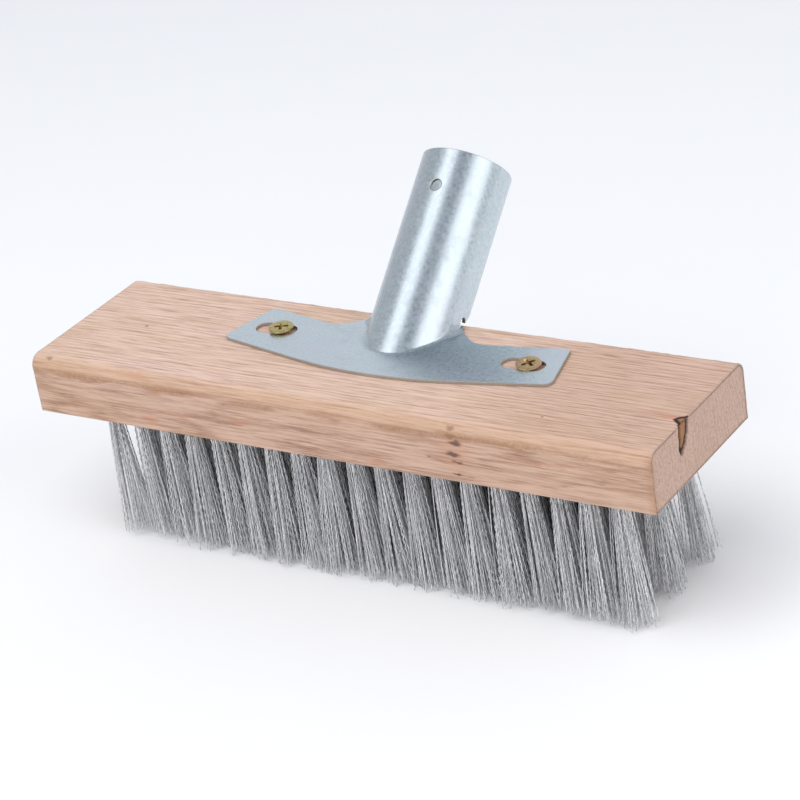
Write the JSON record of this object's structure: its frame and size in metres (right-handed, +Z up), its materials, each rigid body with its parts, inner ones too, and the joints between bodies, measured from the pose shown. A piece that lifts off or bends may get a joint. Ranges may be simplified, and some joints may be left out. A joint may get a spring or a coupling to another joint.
{
  "type": "pool wall brush",
  "caption": "Wooden block brush with tufts of crimped steel wire and a pressed steel bracket whose leaning socket takes a round pole.",
  "frame": {"origin": "on the trimmed bristle face, below the socket's axis and half way across the block", "axes": "+X along the block's length, +Y towards the side that the socket leans to, +Z up, from the bristles to the bracket"},
  "size_m": [0.24, 0.1116, 0.1214],
  "materials": {
    "bare_wood": "sawn and lightly sanded, no varnish",
    "zinc_plate": "bright blue-white zinc plating",
    "yellow_zinc": "yellow passivated zinc on steel",
    "bristle_wire": "drawn and crimped wire",
    "anchor_wire": "flat wire"
  },
  "bodies": {
    "root": {"block": "bare_wood", "handle_bracket": "zinc_plate", "screw_left": "yellow_zinc", "screw_right": "yellow_zinc", "tuft_row_1": "bristle_wire", "tuft_row_2": "bristle_wire", "tuft_row_3": "bristle_wire", "tuft_row_4": "bristle_wire", "tuft_row_5": "bristle_wire", "anchor_row_1": "anchor_wire", "anchor_row_2": "anchor_wire", "anchor_row_3": "anchor_wire", "anchor_row_4": "anchor_wire", "anchor_row_5": "anchor_wire"}
  },
  "joints": []
}
